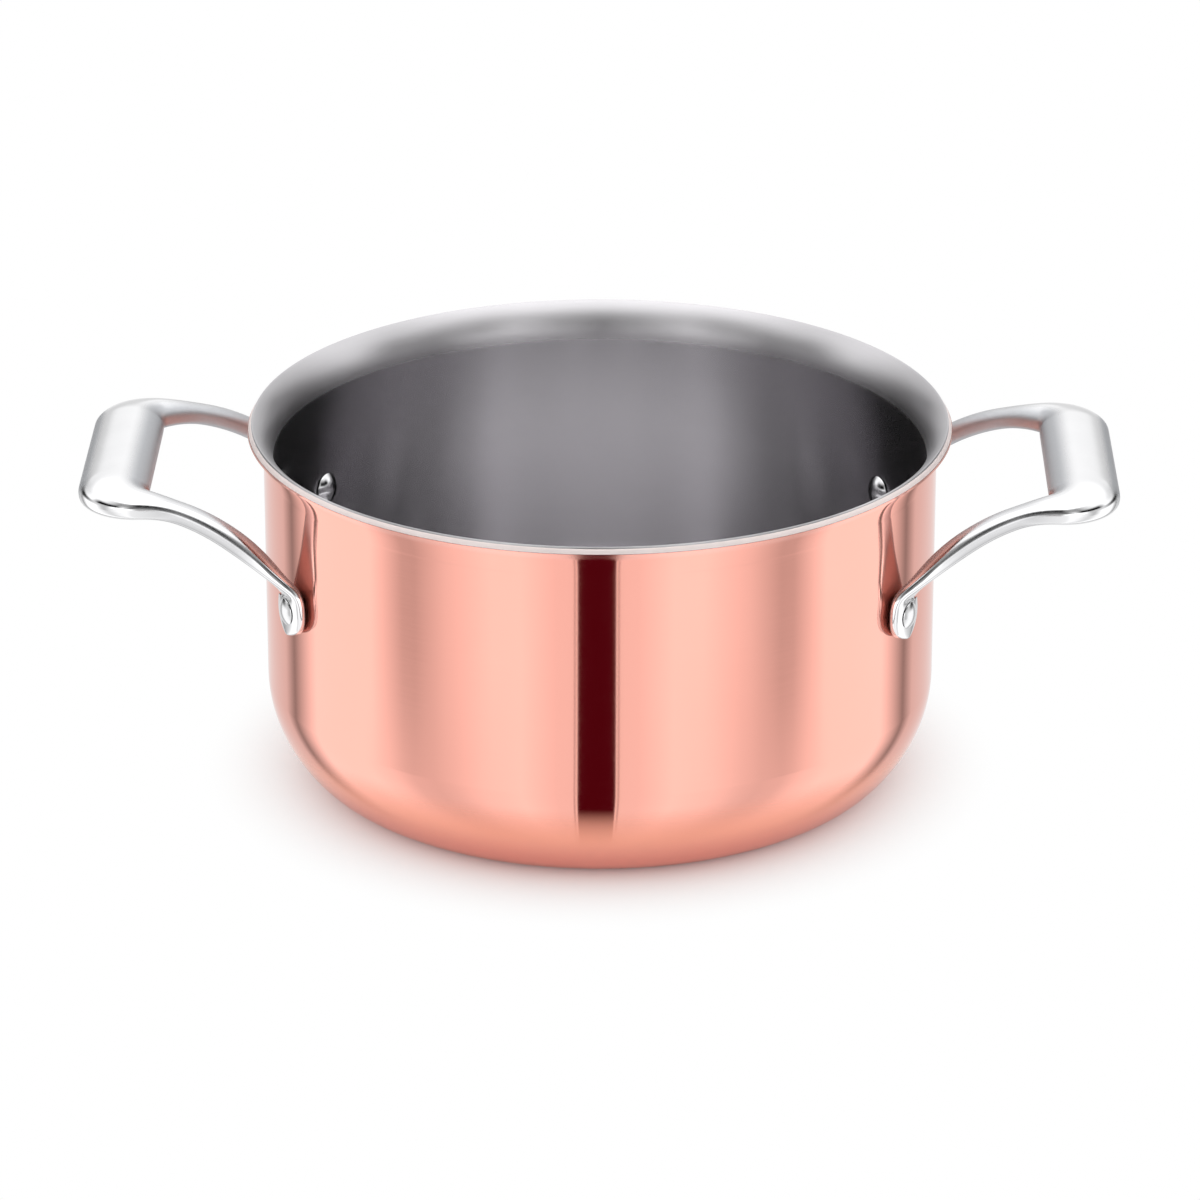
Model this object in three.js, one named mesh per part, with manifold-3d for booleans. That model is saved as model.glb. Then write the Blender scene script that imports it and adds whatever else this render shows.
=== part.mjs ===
// Two-handled sauce pot, drawn from bonded copper, aluminium and stainless sheet.
// Millimetres, +Z up. The origin is the middle of the base, on the surface the pot stands on.
// The handles lie along X, and the front of the pot faces -Y.

import * as THREE from 'three';
import { mergeVertices } from 'three/addons/utils/BufferGeometryUtils.js';
import Module from 'manifold-3d';

const wasm = await Module();
wasm.setup();

const { degToRad, lerp, smoothstep } = THREE.MathUtils;

// Pot: the three bonded layers, the base corner of two blended radii, and the flared pouring lip
const insideRadius = 100;
const potHeight = 114;
const copperGauge = 0.6;
const coreGauge = 1.6;
const liningGauge = 0.6;
const bondGap = 0.05;
const baseCornerRadius = 20;
const wallCornerRadius = 38;
const cornerBlendAngle = degToRad(45);
const lipRadius = 9.6;
const lipAngle = degToRad(60);

// Rivets: a low head outside on the handle's foot, and a domed head inside the pot
const shankRadius = 2.5;
const outerHeadRadius = 4.2;
const outerHeadHeight = 1.3;
const innerHeadRadius = 5.4;
const innerHeadHeight = 2.4;
const rivetDrop = 43.5;
const rivetSpan = 100;
const holeClearance = 0.15;
const headGap = 0.1;

// Handles: a cast bar that leaves two round feet, rises in two legs and widens into a crowned grip
const gripReach = 43.8;
const gripDrop = 10.4;
const gripWidth = 21.6;
const gripThickness = 8;
const gripCrown = 2.2;
const gripShoulder = 17;
const cornerSpan = 73;
const cornerRadius = 12.4;
const legWidth = 8;
const legThickness = 5.6;
const legCrown = 0.4;
const legShoulder = 13;
const footRadius = 7.5;
const footThickness = 4;
const footRise = 5.5;
const footTaper = 16;
const seatGap = 0.2;

// Roundness of the bar's outline (2 is an ellipse) and of the legs' sweep (1 is a straight ramp)
const topSquareness = 2.4;
const undersideSquareness = 3.2;
const undersideCrownShare = 0.35;
const legSweepPower = 2.1;

// Facets
const potSides = 56;
const cornerSteps = 3;
const lipSteps = 3;
const rivetSides = 14;
const domeSteps = 3;
const barSides = 16;
const footSteps = 4;
const legSteps = 9;
const bendSteps = 5;
const gripSteps = 4;

// Sizes that follow from the ones above
const clad = copperGauge + coreGauge + liningGauge + 2 * bondGap;
const wallRadius = insideRadius + clad;
const lipStart = potHeight - (lipRadius + clad) * Math.sin(lipAngle);
const rivetHeight = potHeight - rivetDrop;
const rivetAngle = Math.asin(rivetSpan / 2 / wallRadius);
const footFace = wallRadius + seatGap + footThickness;

const copper = new THREE.MeshStandardMaterial({ color: 0xe39a86, roughness: 0.22, metalness: 1 });
const aluminium = new THREE.MeshStandardMaterial({ color: 0xc9ccd1, roughness: 0.4, metalness: 1 });
const brushedSteel = new THREE.MeshStandardMaterial({ color: 0x9a979c, roughness: 0.38, metalness: 1 });
const castSteel = new THREE.MeshStandardMaterial({ color: 0xd9dadd, roughness: 0.12, metalness: 1 });
const rivetSteel = new THREE.MeshStandardMaterial({ color: 0xcfd0d4, roughness: 0.2, metalness: 1 });

// Booleans work on welded triangles, without the slivers that a revolve leaves on its axis.
function toSolid(geometry) {
  const bare = geometry.clone();
  bare.deleteAttribute('normal');
  bare.deleteAttribute('uv');
  const welded = mergeVertices(bare);
  const corners = welded.index.array;
  const kept = [];
  for (let i = 0; i < corners.length; i += 3) {
    const [a, b, c] = corners.slice(i, i + 3);
    if (a !== b && b !== c && c !== a) kept.push(a, b, c);
  }
  const vertProperties = new Float32Array(welded.attributes.position.array);
  const triVerts = new Uint32Array(kept);
  return new wasm.Manifold(new wasm.Mesh({ numProp: 3, vertProperties, triVerts }));
}

function toGeometry(solid) {
  const { vertProperties, triVerts } = solid.getMesh();
  const geometry = new THREE.BufferGeometry();
  geometry.setAttribute('position', new THREE.BufferAttribute(vertProperties, 3));
  geometry.setIndex(new THREE.BufferAttribute(triVerts, 1));
  geometry.computeVertexNormals();
  return geometry;
}

// Points of an arc about a centre, from one angle to another, both ends included.
function arc(centre, radius, from, to, steps) {
  const points = [];
  for (let i = 0; i <= steps; i += 1) {
    const angle = lerp(from, to, i / steps);
    points.push(new THREE.Vector2(radius, 0).rotateAround(new THREE.Vector2(), angle).add(centre));
  }
  return points;
}

// One face of the sheet, a given depth in from the outside, from the axis up to the cut rim.
function sheetFace(depth) {
  const blend = new THREE.Vector2(Math.cos(cornerBlendAngle), -Math.sin(cornerBlendAngle));
  const wallCentre = new THREE.Vector2(wallRadius - wallCornerRadius, 0);
  const baseCentre = blend.clone().multiplyScalar(wallCornerRadius - baseCornerRadius).add(wallCentre);
  const lift = baseCornerRadius - baseCentre.y;
  wallCentre.y += lift;
  baseCentre.y += lift;
  const lipCentre = new THREE.Vector2(wallRadius + lipRadius, lipStart);
  return [
    new THREE.Vector2(0, depth),
    ...arc(baseCentre, baseCornerRadius - depth, -Math.PI / 2, -cornerBlendAngle, cornerSteps),
    ...arc(wallCentre, wallCornerRadius - depth, -cornerBlendAngle, 0, cornerSteps).slice(1),
    ...arc(lipCentre, lipRadius + depth, Math.PI, Math.PI - lipAngle, lipSteps),
  ];
}

// A layer of the sheet is revolved between its two faces.
function layer(outerDepth, gauge) {
  const profile = [...sheetFace(outerDepth), ...sheetFace(outerDepth + gauge).reverse()];
  return new THREE.LatheGeometry(profile, potSides).rotateX(Math.PI / 2);
}

// Turns a shape made along Y so that it runs out through the wall at a foot, level with the rivets.
function alongRivet(shape, side) {
  shape.rotation.set(0, 0, side * rivetAngle - Math.PI / 2);
  shape.position.set(0, 0, rivetHeight);
  return shape;
}

// Distance from the axis at which the flat underside of an inner head clears the curved lining.
const lintelRadius = insideRadius * Math.cos(Math.PI / potSides);
const innerSeat = Math.sqrt(lintelRadius ** 2 - innerHeadRadius ** 2) - headGap;
const outerSeat = footFace + headGap;

function rivetGeometry() {
  const dome = (radius, height, seat, way) => {
    const sphere = (radius ** 2 + height ** 2) / (2 * height);
    const centre = new THREE.Vector2(0, seat + way * (height - sphere));
    const edge = Math.asin(radius / sphere);
    const quarter = (way * Math.PI) / 2;
    return arc(centre, sphere, quarter, quarter - way * edge, domeSteps);
  };
  const profile = [
    ...dome(innerHeadRadius, innerHeadHeight, innerSeat, -1),
    new THREE.Vector2(shankRadius, innerSeat),
    new THREE.Vector2(shankRadius, outerSeat),
    ...dome(outerHeadRadius, outerHeadHeight, outerSeat, 1).reverse(),
  ];
  profile[0].x = 0;
  profile[profile.length - 1].x = 0;
  return new THREE.LatheGeometry(profile, rivetSides);
}

// The hole that a rivet's shank passes through, long enough to cut the foot and all three layers.
function rivetHole(side) {
  const radius = shankRadius + holeClearance;
  const length = outerSeat - innerSeat + 2 * footThickness;
  const drill = new THREE.CylinderGeometry(radius, radius, length, rivetSides);
  drill.translate(0, (outerSeat + innerSeat) / 2, 0);
  const place = alongRivet(new THREE.Object3D(), side);
  place.updateMatrix();
  return drill.applyMatrix4(place.matrix);
}

function drilledLayer(outerDepth, gauge) {
  let solid = toSolid(layer(outerDepth, gauge));
  for (const side of [-1, 1]) {
    solid = solid.subtract(toSolid(rivetHole(side)));
    solid = solid.subtract(toSolid(rivetHole(side).rotateZ(Math.PI)));
  }
  return toGeometry(solid);
}

// Stations of the front half of a handle on the +X side, from the tip of its foot to mid-grip.
// Each has a centre, the direction across the bar in plan, and the size of the bar there.
function handleStations() {
  const stations = [];
  const footDepth = footThickness + seatGap;
  const footCentre = footFace - footDepth / 2;
  const footPlan = new THREE.Vector2(footCentre, 0).rotateAround(new THREE.Vector2(), -rivetAngle);
  const footAcross = Math.PI / 2 - rivetAngle;

  // Up the wall: a round foot, then a short straight rise
  const footEdge = degToRad(75);
  for (let i = 0; i < footSteps; i += 1) {
    const angle = lerp(-footEdge, 0, i / footSteps);
    stations.push({
      centre: new THREE.Vector3(footPlan.x, footPlan.y, rivetHeight + footRadius * Math.sin(angle)),
      across: footAcross,
      halfWidth: footRadius * Math.cos(angle),
      thickness: footDepth,
      crown: 0,
    });
  }

  // The bar swells from leg to grip over a shoulder that starts before the bend and ends past it
  const swollen = (pastBend) => smoothstep(pastBend, -legShoulder, gripShoulder);
  const width = (pastBend) => lerp(legWidth, gripWidth, swollen(pastBend));
  const thickness = (pastBend) => lerp(legThickness, gripThickness, swollen(pastBend));
  const crown = (pastBend) => lerp(legCrown, gripCrown, swollen(pastBend));

  // Out from the wall: a sweep that leaves the foot steeply and ends level at the grip's corner
  const corner = new THREE.Vector2(wallRadius + gripReach, -cornerSpan / 2);
  const legPlan = corner.clone().sub(footPlan);
  const heading = legPlan.angle();
  const turn = Math.PI / 2 - heading;
  const legLength = legPlan.length() - cornerRadius * Math.tan(turn / 2);
  const legAcross = heading + Math.PI / 2;
  const footTop = rivetHeight + footRise;
  const gripLevel = potHeight - gripDrop - gripThickness / 2;
  const leg = (run, height) => {
    const plan = legPlan.clone().setLength(run).add(footPlan);
    const narrowed = smoothstep(height, rivetHeight, rivetHeight + footTaper);
    const freed = smoothstep(height, footTop, footTop + footTaper);
    stations.push({
      centre: new THREE.Vector3(plan.x, plan.y, height),
      across: lerp(footAcross, legAcross, freed),
      halfWidth: lerp(footRadius, width(run - legLength) / 2, narrowed),
      thickness: lerp(footDepth, thickness(run - legLength), freed),
      crown: lerp(0, crown(run - legLength), freed),
    });
  };
  leg(0, rivetHeight);
  for (let i = 0; i <= legSteps; i += 1) {
    const share = i / legSteps;
    const rise = 1 - (1 - share) ** legSweepPower;
    leg(legLength * share, lerp(footTop, gripLevel, rise));
  }

  // Round the corner and along the grip
  const bendLength = cornerRadius * turn;
  const gripStart = corner.y + cornerRadius * Math.tan(turn / 2);
  const grip = (x, y, across, pastBend) => {
    stations.push({
      centre: new THREE.Vector3(x, y, gripLevel),
      across,
      halfWidth: width(pastBend) / 2,
      thickness: thickness(pastBend),
      crown: crown(pastBend),
    });
  };
  const bendCentre = new THREE.Vector2(corner.x - cornerRadius, gripStart);
  for (let i = 1; i <= bendSteps; i += 1) {
    const bent = heading + (turn * i) / bendSteps;
    const x = bendCentre.x + cornerRadius * Math.sin(bent);
    const y = bendCentre.y - cornerRadius * Math.cos(bent);
    grip(x, y, bent + Math.PI / 2, (bendLength * i) / bendSteps);
  }
  for (let i = 1; i <= gripSteps; i += 1) {
    const along = i / gripSteps;
    grip(corner.x, lerp(gripStart, 0, along), Math.PI, bendLength - gripStart * along);
  }
  return stations;
}

// Outline of the bar at a station: a domed, crowned top over a squarer underside.
function barRing(station, travel) {
  const side = new THREE.Vector3(Math.cos(station.across), Math.sin(station.across), 0);
  const up = travel.clone().cross(side).normalize();
  side.crossVectors(up, travel);
  const rounded = (value, squareness) => Math.sign(value) * Math.abs(value) ** (2 / squareness);
  const ring = [];
  for (let i = 0; i < barSides; i += 1) {
    const angle = (2 * Math.PI * i) / barSides;
    const squareness = i < barSides / 2 ? topSquareness : undersideSquareness;
    const across = rounded(Math.cos(angle), squareness);
    const height = rounded(Math.sin(angle), squareness);
    const share = height > 0 ? 1 : -undersideCrownShare;
    const crown = station.crown * share * (1 - across ** 2);
    ring.push(
      station.centre
        .clone()
        .addScaledVector(side, across * station.halfWidth)
        .addScaledVector(up, (height * station.thickness) / 2 + crown),
    );
  }
  return ring;
}

// Skins a row of rings and closes both ends.
function loft(rings) {
  const sides = rings[0].length;
  const positions = rings.flat().flatMap((point) => point.toArray());
  const index = [];
  for (let k = 0; k + 1 < rings.length; k += 1) {
    for (let i = 0; i < sides; i += 1) {
      const a = k * sides + i;
      const b = k * sides + ((i + 1) % sides);
      index.push(a, b, b + sides, a, b + sides, a + sides);
    }
  }
  const last = (rings.length - 1) * sides;
  for (let i = 1; i + 1 < sides; i += 1) {
    index.push(0, i + 1, i);
    index.push(last, last + i, last + i + 1);
  }
  const geometry = new THREE.BufferGeometry();
  geometry.setAttribute('position', new THREE.Float32BufferAttribute(positions, 3));
  geometry.setIndex(index);
  return geometry;
}

// The rear half of a handle mirrors the front, and the feet are hollowed to sit on the round wall.
function handleGeometry() {
  const stations = handleStations();
  const centres = stations.map((station) => station.centre);
  const half = stations.map((station, k) => {
    const travel = new THREE.Vector3(0, 1, 0);
    if (k + 1 < centres.length) {
      travel.subVectors(centres[k + 1], centres[Math.max(k - 1, 0)]).normalize();
    }
    return barRing(station, travel);
  });
  const mirrored = half
    .slice(0, -1)
    .reverse()
    .map((ring) => ring.map((point) => new THREE.Vector3(point.x, -point.y, point.z)));
  let solid = toSolid(loft([...half, ...mirrored]));

  const seat = wallRadius + seatGap;
  const wall = new THREE.CylinderGeometry(seat, seat, potHeight, potSides);
  wall.rotateX(Math.PI / 2).translate(0, 0, potHeight / 2);
  solid = solid.subtract(toSolid(wall));
  for (const side of [-1, 1]) solid = solid.subtract(toSolid(rivetHole(side)));
  return toGeometry(solid);
}

function named(name, geometry, material) {
  const mesh = new THREE.Mesh(geometry, material.clone());
  mesh.name = name;
  return mesh;
}

// A handle with its two rivets. Turned half round, the rivet on its -Y side is the rear one.
function handleGroup(name, turn, minusRivet, plusRivet) {
  const group = new THREE.Group();
  group.rotation.z = turn;
  group.add(named(name, handleGeometry(), castSteel));
  group.add(alongRivet(named(minusRivet, rivetGeometry(), rivetSteel), -1));
  group.add(alongRivet(named(plusRivet, rivetGeometry(), rivetSteel), 1));
  return group;
}

const coreDepth = copperGauge + bondGap;
const liningDepth = coreDepth + coreGauge + bondGap;

const pot = new THREE.Group();
pot.add(named('copper_shell', drilledLayer(0, copperGauge), copper));
pot.add(named('aluminium_core', drilledLayer(coreDepth, coreGauge), aluminium));
pot.add(named('steel_lining', drilledLayer(liningDepth, liningGauge), brushedSteel));
pot.add(handleGroup('handle_right', 0, 'rivet_right_front', 'rivet_right_rear'));
pot.add(handleGroup('handle_left', Math.PI, 'rivet_left_rear', 'rivet_left_front'));

export default pot;
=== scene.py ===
# %% [markdown]
# A two-handled copper sauce pot, dressed for its portrait.
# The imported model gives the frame: every size below is in that frame, in metres, with +Z up and
# the front of the pot towards -Y. The solids are right but faceted, so each one is replaced here
# by a finely turned or lofted piece in the same place, with the finish of the real metal.
# The order is that of a workshop: the camera, then the shapes, then the light, and last the
# finishes, because polished metal can only be judged once there is something for it to mirror.

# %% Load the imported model
import math

import bmesh
import bpy
from mathutils import Matrix, Vector


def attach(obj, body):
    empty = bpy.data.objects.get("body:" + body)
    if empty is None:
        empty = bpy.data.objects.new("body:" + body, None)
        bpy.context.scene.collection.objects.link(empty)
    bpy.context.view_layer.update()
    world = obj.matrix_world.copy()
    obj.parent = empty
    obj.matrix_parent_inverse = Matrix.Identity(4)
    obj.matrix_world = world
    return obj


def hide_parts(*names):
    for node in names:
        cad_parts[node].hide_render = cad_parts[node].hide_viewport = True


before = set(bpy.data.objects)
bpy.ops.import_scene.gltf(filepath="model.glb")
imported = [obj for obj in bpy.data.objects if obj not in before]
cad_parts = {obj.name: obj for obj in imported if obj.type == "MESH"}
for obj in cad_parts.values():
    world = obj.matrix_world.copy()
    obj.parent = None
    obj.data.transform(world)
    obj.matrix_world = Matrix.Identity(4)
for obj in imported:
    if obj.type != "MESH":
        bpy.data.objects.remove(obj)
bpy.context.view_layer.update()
print("nodes:", sorted(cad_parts))

# %% [markdown]
# The camera comes first, because every later choice is judged through it. The photograph looks down
# on the rim, from a hair to the right of the middle, so the right handle sits slightly lower in the
# picture than the left one. A short lens close by would round the rim's ellipse out towards the
# front. A long lens far away keeps it as flat as it is in the photograph.

# %% The camera
mm = 0.001
camera_distance = 1850 * mm
camera_above = math.radians(22.55)
camera_to_right = math.radians(0.85)
aim_height = 53.3 * mm
sensor_width = 36
focal_length = 179.4

lens = bpy.data.cameras.new("long_lens")
lens.sensor_fit = "HORIZONTAL"
lens.sensor_width = sensor_width
lens.lens = focal_length
away = Vector((
    math.sin(camera_to_right) * math.cos(camera_above),
    -math.cos(camera_to_right) * math.cos(camera_above),
    math.sin(camera_above),
))
camera = bpy.data.objects.new("camera", lens)
camera.location = Vector((0, 0, aim_height)) + camera_distance * away
camera.rotation_euler = away.to_track_quat("Z", "Y").to_euler()
bpy.context.scene.collection.objects.link(camera)
bpy.context.scene.camera = camera
bpy.context.scene.view_settings.view_transform = "Standard"
print("camera at", [round(c, 3) for c in camera.location])

# %% [markdown]
# The pot is drawn from one blank of three bonded sheets: copper outside, aluminium in the middle for
# even heat, stainless steel inside. Its sizes could be read off the solids, but they are named here
# as a maker names them: inside radius, height, the gauge of each sheet, the two arcs of the base
# corner and the arc of the pouring lip. The arcs' centres follow from these.

# %% Sizes of the pot
inside_radius = 100 * mm
pot_height = 114 * mm
copper_gauge = 0.6 * mm
core_gauge = 1.6 * mm
lining_gauge = 0.6 * mm
bond_gap = 0.05 * mm
base_corner_radius = 20 * mm
wall_corner_radius = 38 * mm
corner_blend = math.radians(45)
lip_radius = 9.6 * mm
lip_angle = math.radians(60)

clad = copper_gauge + core_gauge + lining_gauge + 2 * bond_gap
wall_radius = inside_radius + clad
lip_start = pot_height - (lip_radius + clad) * math.sin(lip_angle)
spread = wall_corner_radius - base_corner_radius
corner_axis = wall_radius - wall_corner_radius
base_centre = Vector((corner_axis + spread * math.cos(corner_blend), 0, base_corner_radius))
wall_centre = Vector((corner_axis, 0, base_corner_radius + spread * math.sin(corner_blend)))
lip_centre = Vector((wall_radius + lip_radius, 0, lip_start))
print("wall radius", round(wall_radius / mm, 2), "mm, lip starts at", round(lip_start / mm, 2), "mm")

# %% [markdown]
# A lathe is the natural tool for a pot that is spun or drawn round, and a lathe needs an outline.
# A list of typed points would do, but here one vertex draws the line as a pencil does: extruded, it
# draws a straight, and spun part of the way round a centre, it draws an arc. The two arcs of the
# corner meet at the same slope, so no crease shows in the polish.

# %% Drawing with one vertex
straight_guard = 0.4 * mm


def extrude_to(bm, vert, x, z):
    new = bmesh.ops.extrude_vert_indiv(bm, verts=[vert])["verts"][0]
    new.co = (x, 0, z)
    return new


def swing(bm, vert, centre, angle, steps):
    # A positive angle turns from +X towards +Z.
    swung = bmesh.ops.spin(bm, geom=[vert], cent=centre, axis=(0, -1, 0), angle=angle, steps=steps)
    return [item for item in swung["geom_last"] if isinstance(item, bmesh.types.BMVert)][0]


def straight(bm, vert, x, z):
    # A short piece at each end keeps the long face between them flat under smooth shading.
    start = vert.co.copy()
    end = Vector((x, 0, z))
    way = (end - start).normalized() * straight_guard
    for point in (start + way, end - way, end):
        vert = extrude_to(bm, vert, point.x, point.z)
    return vert


print("pencil ready: straights are guarded over", round(straight_guard / mm, 2), "mm")

# %% [markdown]
# Each sheet has the same outline at its own depth: out along the base, up the corner and the wall,
# over the lip, across the cut rim, and back along the inner face to the middle. One function that
# is told the depth and the gauge draws all three, so the sheets stay nested by themselves.

# %% The outline of a sheet
corner_steps = 14
lip_steps = 16
base_turn = math.pi / 2 - corner_blend


def sheet_outline(bm, outer_depth, gauge):
    inner_depth = outer_depth + gauge
    vert = bm.verts.new((0, 0, outer_depth))
    vert = straight(bm, vert, base_centre.x, outer_depth)
    vert = swing(bm, vert, base_centre, base_turn, corner_steps)
    vert = swing(bm, vert, wall_centre, corner_blend, corner_steps)
    vert = straight(bm, vert, wall_radius - outer_depth, lip_start)
    vert = swing(bm, vert, lip_centre, -lip_angle, lip_steps)
    across = (lip_centre - vert.co).normalized() * -gauge
    vert = extrude_to(bm, vert, vert.co.x + across.x, vert.co.z + across.z)
    vert = swing(bm, vert, lip_centre, lip_angle, lip_steps)
    vert = straight(bm, vert, wall_radius - inner_depth, wall_centre.z)
    vert = swing(bm, vert, wall_centre, -corner_blend, corner_steps)
    vert = swing(bm, vert, base_centre, -base_turn, corner_steps)
    straight(bm, vert, 0, inner_depth)


print("each outline turns its corner in", 2 * corner_steps, "steps and its lip in", lip_steps)

# %% [markdown]
# Turning is one full spin of the outline round +Z. The spin leaves doubled vertices on the axis and
# may turn faces inwards, so the doubles are merged and the normals recalculated straight away.
# Real edges are never knife sharp: a small bevel on every sharp edge catches a thread of light.
# The edges are found by the angle between their faces, so no list of edges has to be kept.

# %% Turning and softening
crisp_edge = math.radians(34)
weld_distance = 0.001 * mm


def weld(bm):
    bmesh.ops.remove_doubles(bm, verts=bm.verts[:], dist=weld_distance)
    bmesh.ops.recalc_face_normals(bm, faces=bm.faces[:])


def turn_round(bm, steps):
    outline = bm.verts[:] + bm.edges[:]
    full_turn = 2 * math.pi
    bmesh.ops.spin(
        bm, geom=outline, cent=(0, 0, 0), axis=(0, 0, 1), angle=full_turn, steps=steps, use_merge=True
    )
    weld(bm)


def soften(bm, offset, segments):
    sharp = [edge for edge in bm.edges if edge.calc_face_angle(0) > crisp_edge]
    bmesh.ops.bevel(
        bm, geom=sharp, offset=offset, segments=segments, profile=0.5, affect="EDGES", material=-1
    )


print("edges over", round(math.degrees(crisp_edge)), "degrees count as sharp")

# %% [markdown]
# A finished piece is handed to the frame in one place. Its faces are shaded smooth and split at the
# real edges only. Then it is hung on the body that carries it, and the solid it stands for is hidden.
# Doing this by hand for nine pieces would invite a slip, so one function does it.

# %% Handing a piece over
def keep(bm, name, node):
    for face in bm.faces:
        face.smooth = True
    for edge in bm.edges:
        edge.smooth = edge.calc_face_angle(0) < crisp_edge
    mesh = bpy.data.meshes.new(name)
    bm.to_mesh(mesh)
    bm.free()
    piece = bpy.data.objects.new(name, mesh)
    bpy.context.scene.collection.objects.link(piece)
    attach(piece, "root")
    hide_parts(node)
    print(name, "stands for", node, "with", len(mesh.polygons), "faces")
    return piece


print(len(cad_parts), "solids wait for their pieces")

# %% [markdown]
# Now the three sheets are turned. A single thick shell with a painted rim would look alike from a
# distance, but three pieces with a hair of bond line between them let the cut rim show copper,
# aluminium and steel side by side, as the real one does. The many steps keep the polish round.

# %% The three bonded sheets
sheet_turns = 256
rim_softening = 0.12 * mm
rim_segments = 3
core_depth = copper_gauge + bond_gap
lining_depth = core_depth + core_gauge + bond_gap


def turned_sheet(outer_depth, gauge):
    bm = bmesh.new()
    sheet_outline(bm, outer_depth, gauge)
    turn_round(bm, sheet_turns)
    soften(bm, rim_softening, rim_segments)
    return bm


outer_copper = keep(turned_sheet(0, copper_gauge), "outer_copper", "copper_shell")
bonded_core = keep(turned_sheet(core_depth, core_gauge), "bonded_core", "aluminium_core")
lining_sheet = turned_sheet(lining_depth, lining_gauge)
brushed_lining = keep(lining_sheet, "brushed_lining", "steel_lining")

# %% [markdown]
# Four rivets hold the handles. Outside, a low head sits on each foot. Inside, a fuller dome stands
# on the lining, where the photograph shows two of them catching the light. The sizes are those of
# the solid rivets. Where each one stands follows from the span between the feet and the wall.

# %% Sizes of a rivet
shank_radius = 2.5 * mm
outer_head_radius = 4.2 * mm
outer_head_height = 1.3 * mm
inner_head_radius = 5.4 * mm
inner_head_height = 2.4 * mm
rivet_height = pot_height - 43.5 * mm
rivet_span = 100 * mm
foot_thickness = 4 * mm
seat_gap = 0.2 * mm
head_gap = 0.1 * mm
# The solid pot is a lathe of this many flats, and the inner head keeps clear of them too.
solid_flats = 56

rivet_angle = math.asin(rivet_span / 2 / wall_radius)
foot_face = wall_radius + seat_gap + foot_thickness
outer_seat = foot_face + head_gap
flat_radius = inside_radius * math.cos(math.pi / solid_flats)
inner_seat = math.sqrt(flat_radius**2 - inner_head_radius**2) - head_gap
print("rivets stand", round(math.degrees(rivet_angle), 1), "degrees to each side of a handle's middle")

# %% [markdown]
# A squashed sphere would do for a head, but a rivet is one piece from head to head. So it is turned
# about its own axis like the pot, with dome, shank and dome in one outline. A dome is a cap of a
# ball, and the ball's size follows from the cap's width and height.

# %% Turning a rivet
dome_steps = 12
rivet_turns = 48
head_softening = 0.15 * mm
head_segments = 2


def dome(bm, vert, seat, height, radius, way):
    # The rivet's axis is Z while it is drawn. The way is -1 for the inner head and 1 for the outer.
    ball = (radius**2 + height**2) / (2 * height)
    centre = Vector((0, 0, seat + way * (height - ball)))
    return swing(bm, vert, centre, math.asin(radius / ball), dome_steps)


def rivet():
    bm = bmesh.new()
    vert = bm.verts.new((0, 0, inner_seat - inner_head_height))
    vert = dome(bm, vert, inner_seat, inner_head_height, inner_head_radius, -1)
    vert = extrude_to(bm, vert, shank_radius, inner_seat)
    vert = extrude_to(bm, vert, shank_radius, outer_seat)
    vert = extrude_to(bm, vert, outer_head_radius, outer_seat)
    crown = dome(bm, vert, outer_seat, outer_head_height, outer_head_radius, 1)
    crown.co.x = 0
    turn_round(bm, rivet_turns)
    soften(bm, head_softening, head_segments)
    return bm


print("a rivet is", round((outer_seat - inner_seat) / mm, 2), "mm long between its heads")

# %% [markdown]
# A rivet is drawn standing on the pot's axis, as if it pointed up. To seat it, it is laid down to
# point outwards, turned to its compass place and lifted to its height. Moving the object would do
# the same on screen, but the moves go into the mesh, so every piece stays at the origin.

# %% The four rivets
def seat_rivet(name, node, compass_place):
    bm = rivet()
    lay_down = Matrix.Rotation(math.pi / 2, 4, "Y")
    lift = Matrix.Translation((0, 0, rivet_height))
    face_out = Matrix.Rotation(compass_place, 4, "Z")
    bmesh.ops.transform(bm, matrix=lift @ face_out @ lay_down, verts=bm.verts[:])
    return keep(bm, name, node)


rivets = [
    seat_rivet("domed_rivet_right_front", "rivet_right_front", -rivet_angle),
    seat_rivet("domed_rivet_right_rear", "rivet_right_rear", rivet_angle),
    seat_rivet("domed_rivet_left_front", "rivet_left_front", math.pi + rivet_angle),
    seat_rivet("domed_rivet_left_rear", "rivet_left_rear", math.pi - rivet_angle),
]

# %% [markdown]
# The handles are cast in stainless steel and polished. Each is one bar that leaves a round foot,
# sweeps up and out in a slim leg, turns a corner and swells into a crowned grip as wide as a thumb.
# It could be sculpted from a box, but a bar that changes its section along a path is closer to how
# a caster's pattern is drawn, and every size of it can be named.

# %% Sizes of a handle
grip_reach = 43.8 * mm
grip_drop = 10.4 * mm
grip_width = 21.6 * mm
grip_thickness = 8 * mm
grip_crown = 2.2 * mm
grip_shoulder = 17 * mm
corner_span = 73 * mm
corner_radius = 12.4 * mm
leg_width = 8 * mm
leg_thickness = 5.6 * mm
leg_crown = 0.4 * mm
leg_shoulder = 13 * mm
leg_sweep_power = 2.1
foot_radius = 7.5 * mm
foot_rise = 5.5 * mm
foot_taper = 16 * mm

foot_depth = foot_thickness + seat_gap
foot_axis = foot_face - foot_depth / 2
foot_plan = Vector((foot_axis * math.cos(rivet_angle), -foot_axis * math.sin(rivet_angle)))
foot_across = math.pi / 2 - rivet_angle
foot_top = rivet_height + foot_rise
loop_corner = Vector((wall_radius + grip_reach, -corner_span / 2))
leg_plan = loop_corner - foot_plan
leg_heading = math.atan2(leg_plan.y, leg_plan.x)
bend = math.pi / 2 - leg_heading
leg_length = leg_plan.length - corner_radius * math.tan(bend / 2)
grip_level = pot_height - grip_drop - grip_thickness / 2
print("loop of", round(corner_span / mm), "mm reaches", round(grip_reach / mm, 1), "mm from the wall")

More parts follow.
